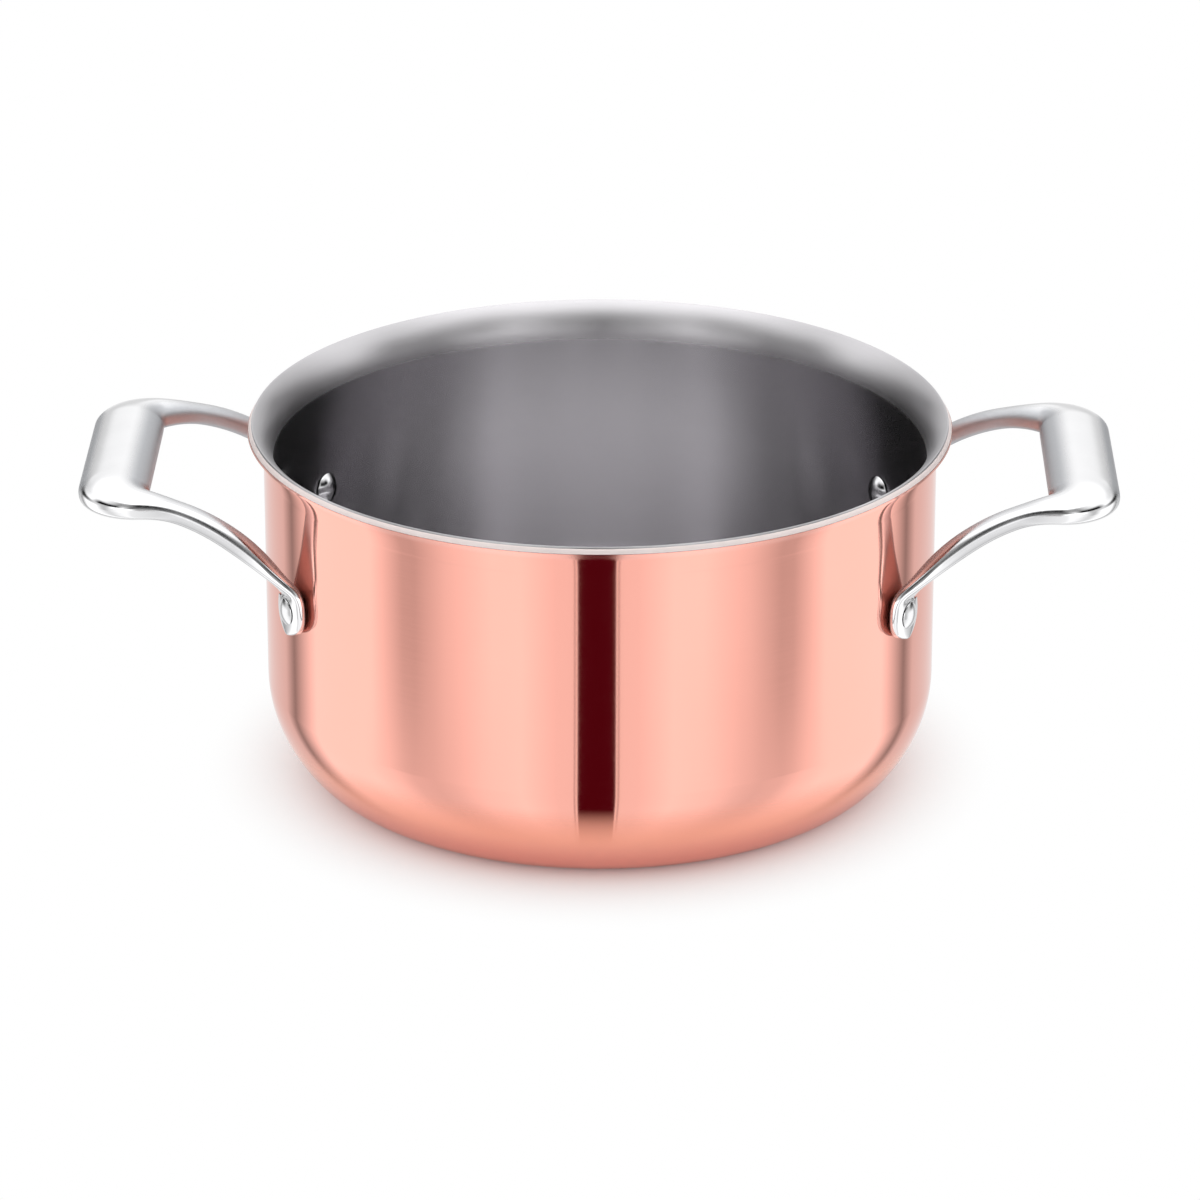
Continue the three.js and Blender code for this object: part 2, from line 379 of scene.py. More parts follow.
# %% [markdown]
# Half a handle is described by stations, like the frames of a boat: each has a centre, a direction
# across the bar, a width, a thickness and a crown. Between leg and grip these sizes swell smoothly,
# over a shoulder on either side of the bend. A smooth blend is used rather than a straight one,
# because a polished bar shows every sudden change of slope.

# %% What a station is
def blend(start, end, share):
    return start + (end - start) * share


def eased(value, start, end):
    share = min(max((value - start) / (end - start), 0), 1)
    return share * share * (3 - 2 * share)


def swollen(past_bend, leg_size, grip_size):
    return blend(leg_size, grip_size, eased(past_bend, -leg_shoulder, grip_shoulder))


def station(x, y, z, across, width, thickness, crown):
    return {
        "centre": Vector((x, y, z)),
        "across": across,
        "half_width": width / 2,
        "thickness": thickness,
        "crown": crown,
    }


print("a bar swells over", round((leg_shoulder + grip_shoulder) / mm), "mm of its path")

# %% [markdown]
# The foot is a round pad against the wall. Its stations climb from near the lowest point to the
# height of the rivet, each as wide as the circle is there. The leg then rises through the pad's
# top, narrows, and leaves the wall in a sweep that starts steep and ends level.

# %% Stations of the foot and the leg
foot_edge = -math.radians(86)
foot_count = 10
pad_count = 4
leg_count = 26


def foot_stations():
    made = []
    for i in range(foot_count):
        angle = blend(foot_edge, 0, i / foot_count)
        width = 2 * foot_radius * math.cos(angle)
        z = rivet_height + foot_radius * math.sin(angle)
        made.append(station(foot_plan.x, foot_plan.y, z, foot_across, width, foot_depth, 0))
    return made


def leg_station(run, z):
    plan = foot_plan + leg_plan.normalized() * run
    narrowed = eased(z, rivet_height, rivet_height + foot_taper)
    freed = eased(z, foot_top, foot_top + foot_taper)
    past = run - leg_length
    across = blend(foot_across, leg_heading + math.pi / 2, freed)
    width = blend(2 * foot_radius, swollen(past, leg_width, grip_width), narrowed)
    thickness = blend(foot_depth, swollen(past, leg_thickness, grip_thickness), freed)
    crown = blend(0, swollen(past, leg_crown, grip_crown), freed)
    return station(plan.x, plan.y, z, across, width, thickness, crown)


def leg_stations():
    made = [leg_station(0, blend(rivet_height, foot_top, i / pad_count)) for i in range(pad_count)]
    for i in range(leg_count + 1):
        share = i / leg_count
        rise = 1 - (1 - share) ** leg_sweep_power
        made.append(leg_station(leg_length * share, blend(foot_top, grip_level, rise)))
    return made


stations = foot_stations() + leg_stations()
print(len(stations), "stations from the foot to the end of the leg")

# %% [markdown]
# The bend is an arc that is tangent to the leg and to the grip, and the grip runs straight from its
# end to the plane of symmetry. Both lie level, so their stations differ only in place, direction
# and how far the bar has swollen.

# %% Stations of the bend and the grip
bend_count = 18
grip_count = 10
bend_length = corner_radius * bend
grip_start = loop_corner.y + corner_radius * math.tan(bend / 2)


def grip_station(x, y, across, past):
    width = swollen(past, leg_width, grip_width)
    thickness = swollen(past, leg_thickness, grip_thickness)
    crown = swollen(past, leg_crown, grip_crown)
    return station(x, y, grip_level, across, width, thickness, crown)


for i in range(1, bend_count + 1):
    bent = leg_heading + bend * i / bend_count
    x = loop_corner.x - corner_radius + corner_radius * math.sin(bent)
    y = grip_start - corner_radius * math.cos(bent)
    stations.append(grip_station(x, y, bent + math.pi / 2, bend_length * i / bend_count))
for i in range(1, grip_count + 1):
    share = i / grip_count
    past = bend_length - grip_start * share
    stations.append(grip_station(loop_corner.x, blend(grip_start, 0, share), math.pi, past))
print(len(stations), "stations from the foot to the middle of the grip")

# %% [markdown]
# A curve with a bevel could sweep one section along a path, but here the section changes all the
# way. So a plain circle is spun without an angle, which stacks its copies into a straight tube, one
# ring for each station, and every vertex is then carried to its station. There the circle becomes a
# squared oval, softer on top than underneath, crowned in the middle and square to the path.

# %% Carrying a tube of rings along the stations
bar_sides = 32
top_squareness = 2.4
under_squareness = 3.2
underside_crown_share = 0.35


def squared(value, squareness):
    return math.copysign(abs(value) ** (2 / squareness), value)


def carry(vert):
    k = round(vert.co.z)
    here = stations[k]
    travel = Vector((0, 1, 0))
    if k + 1 < len(stations):
        travel = (stations[k + 1]["centre"] - stations[max(k - 1, 0)]["centre"]).normalized()
    side = Vector((math.cos(here["across"]), math.sin(here["across"]), 0))
    up = travel.cross(side).normalized()
    side = up.cross(travel)
    squareness = top_squareness if vert.co.y > 0 else under_squareness
    across = squared(vert.co.x, squareness)
    lift = squared(vert.co.y, squareness)
    crown_share = 1 if lift > 0 else -underside_crown_share
    rise = lift * here["thickness"] / 2 + here["crown"] * crown_share * (1 - across**2)
    vert.co = here["centre"] + side * across * here["half_width"] + up * rise


def half_handle():
    bm = bmesh.new()
    bmesh.ops.create_circle(bm, cap_ends=False, segments=bar_sides, radius=1)
    copies = len(stations) - 1
    bmesh.ops.spin(
        bm, geom=bm.edges[:], cent=(0, 0, 0), axis=(0, 0, 1), dvec=(0, 0, 1), angle=0, steps=copies
    )
    tip = [edge for edge in bm.edges if all(vert.co.z < 0.5 for vert in edge.verts)]
    bmesh.ops.holes_fill(bm, edges=tip, sides=bar_sides)
    for vert in bm.verts:
        carry(vert)
    return bm


print("half a handle is a tube of", len(stations), "rings with", bar_sides, "sides")

# %% [markdown]
# The foot has to lie against the round wall, so vertices that would sink into it are pushed out to
# the seat's radius, which hollows the pad as fitting does. Then the half is mirrored into a loop
# and welded, and the second handle is the same loop turned half round. One level of subdivision
# takes the last facets out of the casting, with the same level in the viewport and the render.

# %% The two handles
seat_radius = wall_radius + seat_gap
casting_smoothness = 1


def loop_handle(name, node, facing):
    bm = half_handle()
    for vert in bm.verts:
        reach = vert.co.xy.length
        if reach < seat_radius:
            vert.co.xy *= seat_radius / reach
    whole = bm.verts[:] + bm.edges[:] + bm.faces[:]
    bmesh.ops.mirror(bm, geom=whole, axis="Y", merge_dist=weld_distance)
    weld(bm)
    bmesh.ops.rotate(bm, verts=bm.verts[:], cent=(0, 0, 0), matrix=Matrix.Rotation(facing, 3, "Z"))
    piece = keep(bm, name, node)
    smoothing = piece.modifiers.new("smoothing", "SUBSURF")
    smoothing.levels = casting_smoothness
    smoothing.render_levels = casting_smoothness
    return piece


loop_handle_right = loop_handle("loop_handle_right", "handle_right", 0)
loop_handle_left = loop_handle("loop_handle_left", "handle_left", math.pi)

# %% [markdown]
# The shapes are done, and light and finishes follow. Both are built from shader nodes. In the editor
# they are wired by hand. In a script, a few helpers keep the wiring readable: one adds a node and
# fills its sockets, and the others stand for the nodes that come up again and again.

# %% Helpers for node trees
def add(tree, kind, inputs=None, **settings):
    node = tree.nodes.new(kind)
    for name, value in settings.items():
        setattr(node, name, value)
    for key, value in (inputs or {}).items():
        if isinstance(value, bpy.types.NodeSocket):
            tree.links.new(value, node.inputs[key])
        else:
            node.inputs[key].default_value = value
    return node


def maths(tree, operation, *values):
    return add(tree, "ShaderNodeMath", dict(enumerate(values)), operation=operation).outputs[0]


def vectors(tree, operation, *values):
    node = add(tree, "ShaderNodeVectorMath", dict(enumerate(values)), operation=operation)
    gives_a_number = operation in ("LENGTH", "DOT_PRODUCT")
    return node.outputs["Value" if gives_a_number else "Vector"]


def parts_of(tree, vector):
    return add(tree, "ShaderNodeSeparateXYZ", {0: vector}).outputs


def object_place(tree):
    return add(tree, "ShaderNodeTexCoord").outputs["Object"]


def step(tree, value, start, end, low=0.0, high=1.0):
    inputs = {"Value": value, "From Min": start, "From Max": end, "To Min": low, "To Max": high}
    ramp = add(tree, "ShaderNodeMapRange", inputs, interpolation_type="SMOOTHSTEP")
    return ramp.outputs["Result"]


print("node helpers ready")

# %% [markdown]
# Colours are written as red, green and blue, and the fourth number that a socket wants, its opacity,
# is added in one place. A Mix node keeps its sockets for numbers, vectors and colours side by side
# under the same names, so a script has to reach them by their place in the row.

# %% Helpers for colours
mix_share = 0
low_vector = 4
high_vector = 5
mixed_vector = 1
low_colour = 6
high_colour = 7
mixed_colour = 2


def grey(level):
    return (level, level, level)


def opaque(colour):
    return (*colour, 1)


def mix_colours(tree, share, low, high):
    inputs = {mix_share: share}
    for key, colour in ((low_colour, low), (high_colour, high)):
        inputs[key] = colour if isinstance(colour, bpy.types.NodeSocket) else opaque(colour)
    return add(tree, "ShaderNodeMix", inputs, data_type="RGBA").outputs[mixed_colour]


def mix_shaders(tree, share, low, high):
    return add(tree, "ShaderNodeMixShader", {0: share, 1: low, 2: high}).outputs[0]


def glowing(tree, colour):
    return add(tree, "ShaderNodeEmission", {"Color": opaque(colour), "Strength": 1.0}).outputs[0]


print("white is written", opaque(grey(1.0)))

# %% [markdown]
# Polished metal has hardly any colour of its own to show: what it shows is the studio. This pot stands
# in a tent of white cloth, and its wall mirrors the tent's panels as upright bands, with softer gaps
# where panels meet. The bands could be lamps and cards, but a world that is bright or dark by its
# direction gives the same reflections on every side, with no edges to hide. A direction is told by
# its compass angle, from 0 in front to 1 behind, alike on the left and the right, and its height.

# %% Directions in the tent
tent = bpy.data.worlds.new("light_tent")
bpy.context.scene.world = tent
tent.use_nodes = True
tent_tree = tent.node_tree
tent_tree.nodes.clear()

looking = parts_of(tent_tree, add(tent_tree, "ShaderNodeTexCoord").outputs["Generated"])
sideways = maths(tent_tree, "ABSOLUTE", looking["X"])
frontwards = maths(tent_tree, "MULTIPLY", looking["Y"], -1.0)
compass = maths(tent_tree, "DIVIDE", maths(tent_tree, "ARCTAN2", sideways, frontwards), math.pi)
height = maths(tent_tree, "ARCSINE", looking["Z"])
print("directions are read with", len(tent_tree.nodes), "nodes")

# %% [markdown]
# The tent is made of five rings of cloth, one above another, and a light in the roof. Each ring is a
# colour ramp round the compass: its stops are an angle from the front, in degrees, and a
# brightness, matched to the photograph's bands. Hem and skirt hang below the horizon, where
# the upright copper looks when it is seen from above. The walls and the roof are what the brushed
# inside, the lip and the handles see.

# %% Rings of the tent
half_circle = 180


def ring(stops):
    ramp = add(tent_tree, "ShaderNodeValToRGB", {0: compass})
    marks = ramp.color_ramp.elements
    while len(marks) < len(stops):
        # A new stop needs some place, and gets its own in the loop below.
        marks.new(0.5)
    for mark, (angle, brightness) in zip(marks, stops):
        mark.position = angle / half_circle
        mark.color = opaque(grey(brightness))
    return ramp.outputs["Color"]


hem = ring([
    (0, 0.96), (14, 1.0), (26, 1.22), (40, 1.1), (51, 0.9), (58, 0.82), (67, 0.86),
    (76, 1.08), (88, 1.25), (114, 1.25), (130, 0.3), (138, 0.75), (180, 0.9),
])
skirt = ring([
    (0, 0.96), (14, 1.0), (26, 1.25), (36, 1.25), (53, 0.95), (65, 0.6),
    (70, 0.62), (84, 1.25), (114, 1.25), (130, 0.3), (138, 0.75), (180, 0.9),
])
low_wall = ring([
    (0, 0.4), (10, 1.2), (30, 1.9), (45, 1.9), (60, 0.6), (90, 0.8),
    (110, 0.2), (125, 0), (145, 0), (160, 0.7), (180, 0.8),
])
high_wall = ring([
    (0, 0.2), (15, 0.2), (32, 0.9), (45, 0), (82, 0), (100, 1.3),
    (112, 1.2), (126, 0.9), (142, 0.85), (160, 1.0), (180, 1.1),
])
roof = ring([(0, 0), (12, 0.2), (28, 0.4), (45, 0.35), (80, 1.2), (120, 1.3), (180, 1.4)])
print("five rings of cloth")

# %% [markdown]
# The rings are joined from the bottom up, each fading into the next between two heights in degrees.
# Only mirrored rays see them. The camera, and the light that falls softly on the floor, see plain
# white, which keeps the picture's ground white without putting more light on the pot.

# %% Joining the rings
roof_light = grey(2.0)
joins = [
    (skirt, -24.5, -23.2),
    (low_wall, -6, 4),
    (high_wall, 10, 18),
    (roof, 26, 40),
    (roof_light, 52, 68),
]
tent_colour = hem
for cloth, fade_start, fade_end in joins:
    reached = step(tent_tree, height, math.radians(fade_start), math.radians(fade_end))
    tent_colour = mix_colours(tent_tree, reached, tent_colour, cloth)

tent_ray = add(tent_tree, "ShaderNodeLightPath").outputs
plain = maths(tent_tree, "MAXIMUM", tent_ray["Is Camera Ray"], tent_ray["Is Diffuse Ray"])
shown = mix_colours(tent_tree, plain, tent_colour, grey(1.0))
sky = add(tent_tree, "ShaderNodeBackground", {"Color": shown, "Strength": 1.0})
add(tent_tree, "ShaderNodeOutputWorld", {"Surface": sky.outputs[0]})
tent.cycles.sampling_method = "NONE"
print("tent of five rings and a roof light")

# %% [markdown]
# The floor is a plain pale sheet that the pot stands on. A backdrop could sweep up behind it, but the
# world is white already, so one large disc is enough: its edge lies far outside the picture.

# %% The floor's sheet
floor_reach = 3.0
floor_sides = 96

floor_mesh = bpy.data.meshes.new("floor")
floor_bm = bmesh.new()
bmesh.ops.create_circle(floor_bm, cap_ends=True, segments=floor_sides, radius=floor_reach)
floor_bm.to_mesh(floor_mesh)
floor_bm.free()
floor = bpy.data.objects.new("floor", floor_mesh)
bpy.context.scene.collection.objects.link(floor)
print("floor of radius", floor_reach, "m")

# %% [markdown]
# The paper takes the pot's soft shadow and fades to pure white further out, as the photograph's
# ground does. The lower corner of the copper mirrors the paper close by and turns orange there, so
# in mirrored rays the sheet glows a little warmer round the pot: a painted pool of warm light in
# place of the copper's bounce light. What kind of ray asks is told by the Light Path node, so one
# floor can answer the camera and the metal differently.

# %% Paper, glow and white
paper_colour = grey(0.93)
glow_colour = (1, 0.86, 0.68)
glow_strength = 0.5
glow_start = 90 * mm
glow_end = 108 * mm
shadow_start = 72 * mm
shadow_end = 125 * mm

pale_floor = bpy.data.materials.new("pale_floor")
pale_floor.use_nodes = True
floor_mesh.materials.append(pale_floor)
floor_tree = pale_floor.node_tree
floor_tree.nodes.clear()
floor_place = object_place(floor_tree)
distance = vectors(floor_tree, "LENGTH", floor_place)
floor_ray = add(floor_tree, "ShaderNodeLightPath").outputs
paper = add(floor_tree, "ShaderNodeBsdfDiffuse", {"Color": opaque(paper_colour)}).outputs[0]
# Painted light: a warm glow round the pot, seen only in mirrored rays.
painted_glow = step(floor_tree, distance, glow_start, glow_end, 0.0, glow_strength)
mirrored_painted_glow = maths(floor_tree, "MULTIPLY", painted_glow, floor_ray["Is Glossy Ray"])
whiteness = step(floor_tree, distance, shadow_start, shadow_end)
faded = maths(floor_tree, "MULTIPLY", whiteness, floor_ray["Is Camera Ray"])
ground = mix_shaders(floor_tree, mirrored_painted_glow, paper, glowing(floor_tree, glow_colour))
ground = mix_shaders(floor_tree, faded, ground, glowing(floor_tree, grey(1.0)))
print("the shadow has faded out", round(shadow_end / mm), "mm from the pot's axis")

# %% [markdown]
# Past the paper close by, mirrored rays go through the floor and see the tent's hem and skirt: the
# length of a ray tells near from far. In front stands one dark opening with a thin seam on either
# side, which the wall shows as an upright strip. It could be painted on the copper, but then it would
# not slide round the pot with the view, as a reflection does. A round wall shrinks what it mirrors,
# the more so the further off it is, so the opening widens with distance and the strip stays even.

# %% The opening in front
strip_half_width = 5.85 * mm
strip_softness = 0.25 * mm
seam_start = 6.3 * mm
seam_end = 7.0 * mm
seam_softness = 0.15 * mm
seam_darkness = 0.4
opening_start = 60 * mm
opening_colour = (0.075, 0.002, 0.008)
pass_start = 13 * mm
pass_end = 50 * mm

floor_axes = parts_of(floor_tree, floor_place)
forward = maths(floor_tree, "MULTIPLY", floor_axes["Y"], -1.0)
widening = maths(floor_tree, "SUBTRACT", maths(floor_tree, "MULTIPLY", forward, 2 / wall_radius), 1.0)
on_wall = maths(floor_tree, "DIVIDE", maths(floor_tree, "ABSOLUTE", floor_axes["X"]), widening)
strip = step(floor_tree, on_wall, strip_half_width, strip_half_width - strip_softness)
seam = maths(
    floor_tree,
    "MULTIPLY",
    step(floor_tree, on_wall, seam_start, seam_start + seam_softness),
    step(floor_tree, on_wall, seam_end, seam_end - seam_softness),
)
opening = maths(floor_tree, "MAXIMUM", strip, maths(floor_tree, "MULTIPLY", seam, seam_darkness))
in_front = maths(floor_tree, "GREATER_THAN", forward, opening_start)
opening = maths(floor_tree, "MULTIPLY", opening, in_front)
clear = add(floor_tree, "ShaderNodeBsdfTransparent").outputs[0]
beyond = mix_shaders(floor_tree, opening, clear, glowing(floor_tree, opening_colour))
far = step(floor_tree, floor_ray["Ray Length"], pass_start, pass_end)
passed = maths(floor_tree, "MULTIPLY", far, floor_ray["Is Glossy Ray"])
surface = mix_shaders(floor_tree, passed, ground, beyond)
add(floor_tree, "ShaderNodeOutputMaterial", {"Surface": surface})
print("strip of", round(2 * strip_half_width / mm, 1), "mm with a seam on either side")

# %% [markdown]
# Sheet metal that was spun or brushed on a lathe carries its fine lines round the pot's axis. The
# pattern could be painted on an unwrapped map, but a direction from the axis and a distance along
# the sheet describe it exactly, with no seam: noise that is stretched round the axis and squeezed
# along the sheet becomes lathe lines on the wall and rings on the floor. Castings and rivets carry
# a plain cloud of noise instead.

# %% Patterns for metal
level_only = (1, 1, 0)
line_roughness = 0.6
# Noise runs from 0 to 1 but mostly lies between these values.
usual_noise = (0.3, 0.7)
wide_noise = (0.25, 0.75)


def lathe_lines(tree, around, along, detail):
    place = object_place(tree)
    flat = vectors(tree, "MULTIPLY", place, level_only)
    radius = vectors(tree, "LENGTH", flat)
    facing = vectors(tree, "NORMALIZE", flat)
    run = maths(tree, "MULTIPLY", maths(tree, "ADD", radius, parts_of(tree, place)["Z"]), along)
    circled = vectors(tree, "MULTIPLY", facing, (around, around, around))
    lifted = add(tree, "ShaderNodeCombineXYZ", {"Z": run}).outputs[0]
    inputs = {
        "Vector": vectors(tree, "ADD", circled, lifted),
        "Scale": 1.0,
        "Detail": detail,
        "Roughness": line_roughness,
    }
    return add(tree, "ShaderNodeTexNoise", inputs).outputs["Fac"]


def cloud(tree, scale, detail):
    inputs = {"Vector": object_place(tree), "Scale": scale, "Detail": detail}
    return add(tree, "ShaderNodeTexNoise", inputs).outputs["Fac"]


print("lathe lines and clouds ready")

# %% [markdown]
# All the finishes are metals, so they share one start: a Principled shader that is fully metallic.
# Each then gets a colour, a roughness and a bump from its own pattern. Turned sheets also get
# anisotropic gloss: their tangent runs round the axis, and a quarter turn lays the stretch of the
# highlights across the lathe lines, as it is on real brushed metal.

# %% Helpers for metal
quarter_turn = 0.25


def metal(name, pieces):
    material = bpy.data.materials.new(name)
    material.use_nodes = True
    tree = material.node_tree
    tree.nodes.clear()
    shader = add(tree, "ShaderNodeBsdfPrincipled", {"Metallic": 1.0})
    add(tree, "ShaderNodeOutputMaterial", {"Surface": shader.outputs[0]})
    for piece in pieces:
        piece.data.materials.append(material)
    return tree, shader


def ridges(tree, pattern, strength, depth, normal=None):
    inputs = {"Strength": strength, "Distance": depth, "Height": pattern}
    if normal is not None:
        inputs["Normal"] = normal
    return add(tree, "ShaderNodeBump", inputs).outputs["Normal"]


def dress(tree, shader, colour, roughness, normal):
    tree.links.new(colour, shader.inputs["Base Color"])
    tree.links.new(roughness, shader.inputs["Roughness"])
    tree.links.new(normal, shader.inputs["Normal"])


def stretch_gloss(tree, shader, amount):
    tangent = add(tree, "ShaderNodeTangent", direction_type="RADIAL", axis="Z")
    tree.links.new(tangent.outputs[0], shader.inputs["Tangent"])
    shader.inputs["Anisotropic"].default_value = amount
    shader.inputs["Anisotropic Rotation"].default_value = quarter_turn


print("metal helpers ready")

# %% [markdown]
# The copper is polished bright and clear of tarnish. Its colour drifts a little, as copper's does,
# and the polishing wheel leaves hairlines round the pot. Near the cut edge its colour is painted
# paler, a painted highlight where the edge catches the light, and its gloss is a little hazier.

# %% Colour and polish of the copper
deep_copper = (0.98, 0.445, 0.36)
light_copper = (0.985, 0.475, 0.39)
# The pale rim colour is a painted highlight; the haze added near the rim is roughness.
rim_highlight_copper = (0.98, 0.78, 0.74)
rim_highlight_start = lip_start + 5.5 * mm
rim_highlight_end = lip_start + 7.5 * mm
rim_highlight_share = 0.12
rim_haze = 0.1
bright_polish = 0.06
hairline_polish = 0.085

copper_tree, copper_shader = metal("polished_copper", [outer_copper])
drift = cloud(copper_tree, scale=22.0, detail=3.0)
hairlines = lathe_lines(copper_tree, around=5.0, along=2600.0, detail=2.0)
copper_place = object_place(copper_tree)
copper_level = parts_of(copper_tree, copper_place)["Z"]
highlit = step(copper_tree, copper_level, rim_highlight_start, rim_highlight_end)
copper_colour = mix_colours(copper_tree, drift, deep_copper, light_copper)
# Painted highlight: near the rim the copper's colour is mixed towards a pale pink.
paled = maths(copper_tree, "MULTIPLY", highlit, rim_highlight_share)
copper_colour = mix_colours(copper_tree, paled, copper_colour, rim_highlight_copper)
polish = step(copper_tree, hairlines, *usual_noise, bright_polish, hairline_polish)
polish = maths(copper_tree, "ADD", polish, maths(copper_tree, "MULTIPLY", highlit, rim_haze))
print("copper is rubbed from", round(rim_highlight_start / mm, 1), "mm up")

# %% [markdown]
# On the flared lip a true mirror would show a bright ring of the floor. In the photograph the wall's
# bands and the dark strip run on up to the rim. The mesh keeps the lip's real flare, and only the
# shading normal is turned upright there, so the lip mirrors what the wall below it does. Bump adds
# the hairlines on top of that normal.

# %% The lip's shading and the hairlines
upright_blend = 1 * mm
hairline_strength = 0.06
hairline_depth = 0.01 * mm
copper_stretch = 0.6

outward = vectors(copper_tree, "MULTIPLY", copper_place, level_only)
outward = add(
    copper_tree,
    "ShaderNodeVectorTransform",
    {0: outward},
    vector_type="NORMAL",
    convert_from="OBJECT",
    convert_to="WORLD",
).outputs[0]
outward = vectors(copper_tree, "NORMALIZE", outward)
upright = step(copper_tree, copper_level, lip_start - upright_blend, lip_start + upright_blend)
true_normal = add(copper_tree, "ShaderNodeNewGeometry").outputs["Normal"]
leaning = {mix_share: upright, low_vector: true_normal, high_vector: outward}
turned_normal = add(copper_tree, "ShaderNodeMix", leaning, data_type="VECTOR").outputs[mixed_vector]
copper_bump = ridges(copper_tree, hairlines, hairline_strength, hairline_depth, turned_normal)
dress(copper_tree, copper_shader, copper_colour, polish, copper_bump)
stretch_gloss(copper_tree, copper_shader, copper_stretch)
print("copper ready with", len(copper_tree.nodes), "nodes")

# %% [markdown]
# The lining is stainless steel with a brushed finish that runs round the pot. The brush lines blur
# reflections up and down and leave them fairly sharp sideways, so the inside shows soft upright
# bands. On the flared lip the lines give way to an even satin, coarser and without relief, which
# spreads the light softly as the photograph's pale lip does.

# %% Brushed steel lining
dull_streak = (0.572, 0.56, 0.577)
clear_streak = (0.612, 0.6, 0.617)
fine_brushing = 0.155
coarse_brushing = 0.175
satin_blend = 1.5 * mm
satin_haze = 0.12
brush_relief = 0.12
brush_depth = 0.02 * mm
lining_stretch = 1.0

lining_tree, lining_shader = metal("brushed_lining_steel", [brushed_lining])
brushing = lathe_lines(lining_tree, around=9.0, along=1400.0, detail=4.0)
streaks = lathe_lines(lining_tree, around=3.0, along=300.0, detail=2.0)
lining_level = parts_of(lining_tree, object_place(lining_tree))["Z"]
flared = step(lining_tree, lining_level, lip_start - satin_blend, lip_start)
lining_colour = mix_colours(lining_tree, streaks, dull_streak, clear_streak)
grain = step(lining_tree, brushing, *wide_noise, fine_brushing, coarse_brushing)
grain = maths(lining_tree, "ADD", grain, maths(lining_tree, "MULTIPLY", flared, satin_haze))
relief = step(lining_tree, flared, 0.0, 1.0, brush_relief, 0.0)
lining_bump = ridges(lining_tree, brushing, relief, brush_depth)
dress(lining_tree, lining_shader, lining_colour, grain, lining_bump)
stretch_gloss(lining_tree, lining_shader, lining_stretch)
print("lining ready with", len(lining_tree.nodes), "nodes")

# %% [markdown]
# Of the aluminium only the cut rim shows, as a thin pale line between copper and steel. It was
# trimmed and ground, so it is matt, with short marks of the grinder. Its colour is tinted warm, a
# painted reflection of the copper beside it. A glossy rim would flicker between black and white round
# the pot.

# %% Aluminium core
# Both grind colours are tinted pink: a painted reflection of the copper beside the rim.
copper_tinted_grind = (1.0, 0.89, 0.865)
pale_tinted_grind = (1.0, 0.92, 0.9)
fine_grind = 0.52
coarse_grind = 0.6
grind_strength = 0.05
grind_depth = 0.01 * mm

core_tree, core_shader = metal("cut_aluminium", [bonded_core])
grind = lathe_lines(core_tree, around=40.0, along=900.0, detail=3.0)
core_colour = mix_colours(core_tree, grind, copper_tinted_grind, pale_tinted_grind)
core_roughness = step(core_tree, grind, *usual_noise, fine_grind, coarse_grind)
core_bump = ridges(core_tree, grind, grind_strength, grind_depth)
dress(core_tree, core_shader, core_colour, core_roughness, core_bump)
print("core ready with", len(core_tree.nodes), "nodes")

# %% [markdown]
# The handles were polished by hand after casting. The slim legs are satin and rougher, and their
# colour is painted darker, a painted shade. The sides that face the finger gap or the pot, with the
# outer flank of the grip, are rougher still and painted darker again, a painted shade. These places
# could be painted on by hand. Here they are told by where a point lies and which way it faces, both
# in the object's own frame, so they stay put in any view.

# %% Where the handles get painted shade
leg_begins = (98 * mm, 110 * mm)
leg_ends = (140 * mm, 126 * mm)
gap_middle = 125 * mm
gap_facing = (0.2, 0.7)
pot_facing = (-0.1, -0.5)
flank_facing = (0.4, 0.65)
flank_length = (36 * mm, 28 * mm)
flank_reach = (140 * mm, 146 * mm)

cast_tree, cast_shader = metal("polished_cast_steel", [loop_handle_right, loop_handle_left])
cast_place = object_place(cast_tree)
cast_axes = parts_of(cast_tree, cast_place)
cast_face = add(cast_tree, "ShaderNodeTexCoord").outputs["Normal"]
which_side = maths(cast_tree, "SIGN", cast_axes["X"])
reach = maths(cast_tree, "ABSOLUTE", cast_axes["X"])
leg_begun = step(cast_tree, reach, *leg_begins)
# Painted shade: the slim legs take a darker colour, and they are also rougher.
satin_and_shade = maths(cast_tree, "MULTIPLY", leg_begun, step(cast_tree, reach, *leg_ends))

gap_side = maths(cast_tree, "MULTIPLY", which_side, gap_middle)
gap = add(cast_tree, "ShaderNodeCombineXYZ", {"X": gap_side}).outputs[0]
level_place = vectors(cast_tree, "MULTIPLY", cast_place, level_only)
to_gap = vectors(cast_tree, "NORMALIZE", vectors(cast_tree, "SUBTRACT", gap, level_place))
from_axis = vectors(cast_tree, "NORMALIZE", level_place)
faces_gap = step(cast_tree, vectors(cast_tree, "DOT_PRODUCT", cast_face, to_gap), *gap_facing)
faces_pot = step(cast_tree, vectors(cast_tree, "DOT_PRODUCT", cast_face, from_axis), *pot_facing)
faces_out = maths(cast_tree, "MULTIPLY", parts_of(cast_tree, cast_face)["X"], which_side)
along_grip = maths(cast_tree, "ABSOLUTE", cast_axes["Y"])
flank = step(cast_tree, faces_out, *flank_facing)
flank = maths(cast_tree, "MULTIPLY", flank, step(cast_tree, along_grip, *flank_length))
flank = maths(cast_tree, "MULTIPLY", flank, step(cast_tree, reach, *flank_reach))
# Painted shade: the sides facing the finger gap or the pot and the grip's outer flank are darker, and
# rougher.
dull_and_shade = maths(cast_tree, "MAXIMUM", maths(cast_tree, "MAXIMUM", faces_gap, faces_pot), flank)
print("the handles' finish is told apart with", len(cast_tree.nodes), "nodes")

# %% [markdown]
# Cast steel is bright but not optically flat: slow waves of the casting survive under the polish,
# and the wheel leaves faint marks. The waves drive colour and bump, and the marks drive the gloss,
# so that highlights wander a little along the bar instead of lying ruler straight.

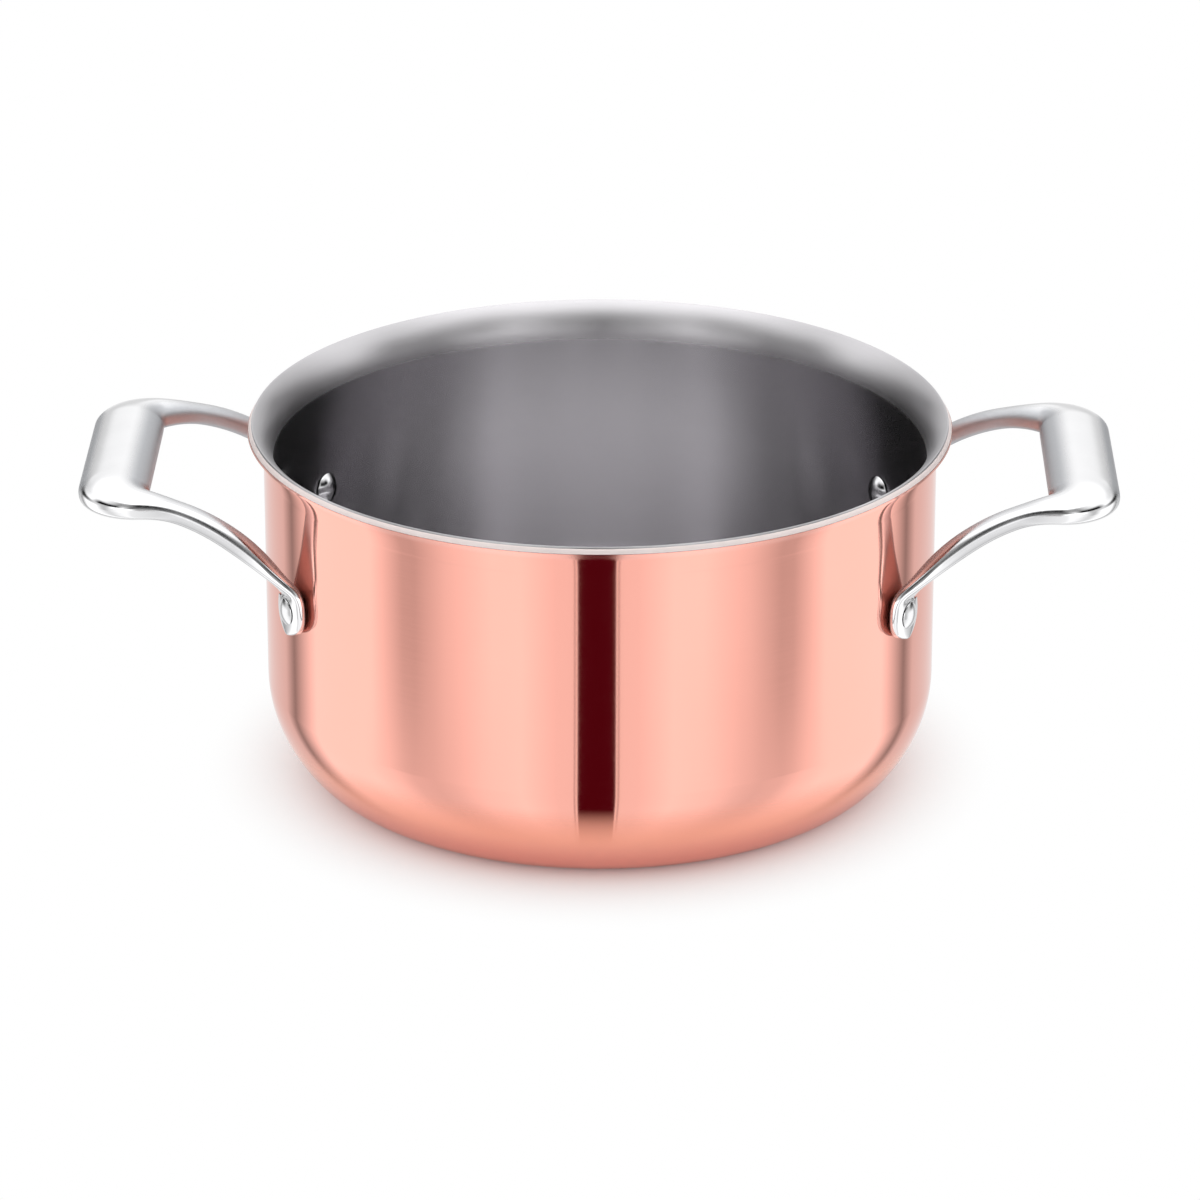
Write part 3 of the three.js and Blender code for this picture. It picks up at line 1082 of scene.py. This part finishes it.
# %% Polished cast steel
bright_low = (0.82, 0.82, 0.83)
bright_high = (0.88, 0.88, 0.89)
shaded_satin_low = (0.58, 0.58, 0.59)
shaded_satin_high = (0.64, 0.64, 0.65)
shaded_dull_steel = (0.49, 0.5, 0.52)
wheel_fine = 0.08
wheel_coarse = 0.14
satin_roughness = 0.07
dull_roughness = 0.35
wave_strength = 0.08
wave_depth = 0.25 * mm

waves = cloud(cast_tree, scale=90.0, detail=1.0)
wheel = cloud(cast_tree, scale=900.0, detail=4.0)
bright_steel = mix_colours(cast_tree, waves, bright_low, bright_high)
shaded_satin_steel = mix_colours(cast_tree, waves, shaded_satin_low, shaded_satin_high)
# Painted shade: the legs and the shaded sides take darker copies of the same steel.
cast_colour = mix_colours(cast_tree, satin_and_shade, bright_steel, shaded_satin_steel)
cast_colour = mix_colours(cast_tree, dull_and_shade, cast_colour, shaded_dull_steel)
gloss = step(cast_tree, wheel, *usual_noise, wheel_fine, wheel_coarse)
gloss = maths(cast_tree, "ADD", gloss, maths(cast_tree, "MULTIPLY", satin_and_shade, satin_roughness))
gloss = maths(cast_tree, "ADD", gloss, maths(cast_tree, "MULTIPLY", dull_and_shade, dull_roughness))
cast_bump = ridges(cast_tree, waves, wave_strength, wave_depth)
dress(cast_tree, cast_shader, cast_colour, gloss, cast_bump)
print("cast steel ready with", len(cast_tree.nodes), "nodes")

# %% [markdown]
# The rivets are of steel too, and were closed with a punch. Its small blows leave a lightly peened
# surface. Each dent could be modelled, but they are finer than a pixel here, so a fine cloud of noise
# drives colour, gloss and bump together, and every dent differs a little in all three.

# %% Rivet steel
dent_steel = (0.76, 0.76, 0.77)
peened_steel = (0.84, 0.84, 0.85)
peen_fine = 0.12
peen_coarse = 0.2
peen_strength = 0.1
peen_depth = 0.03 * mm

rivet_tree, rivet_shader = metal("rivet_steel", rivets)
peen = cloud(rivet_tree, scale=500.0, detail=3.0)
rivet_colour = mix_colours(rivet_tree, peen, dent_steel, peened_steel)
rivet_roughness = step(rivet_tree, peen, *usual_noise, peen_fine, peen_coarse)
rivet_bump = ridges(rivet_tree, peen, peen_strength, peen_depth)
dress(rivet_tree, rivet_shader, rivet_colour, rivet_roughness, rivet_bump)
print("rivet steel ready with", len(rivet_tree.nodes), "nodes")
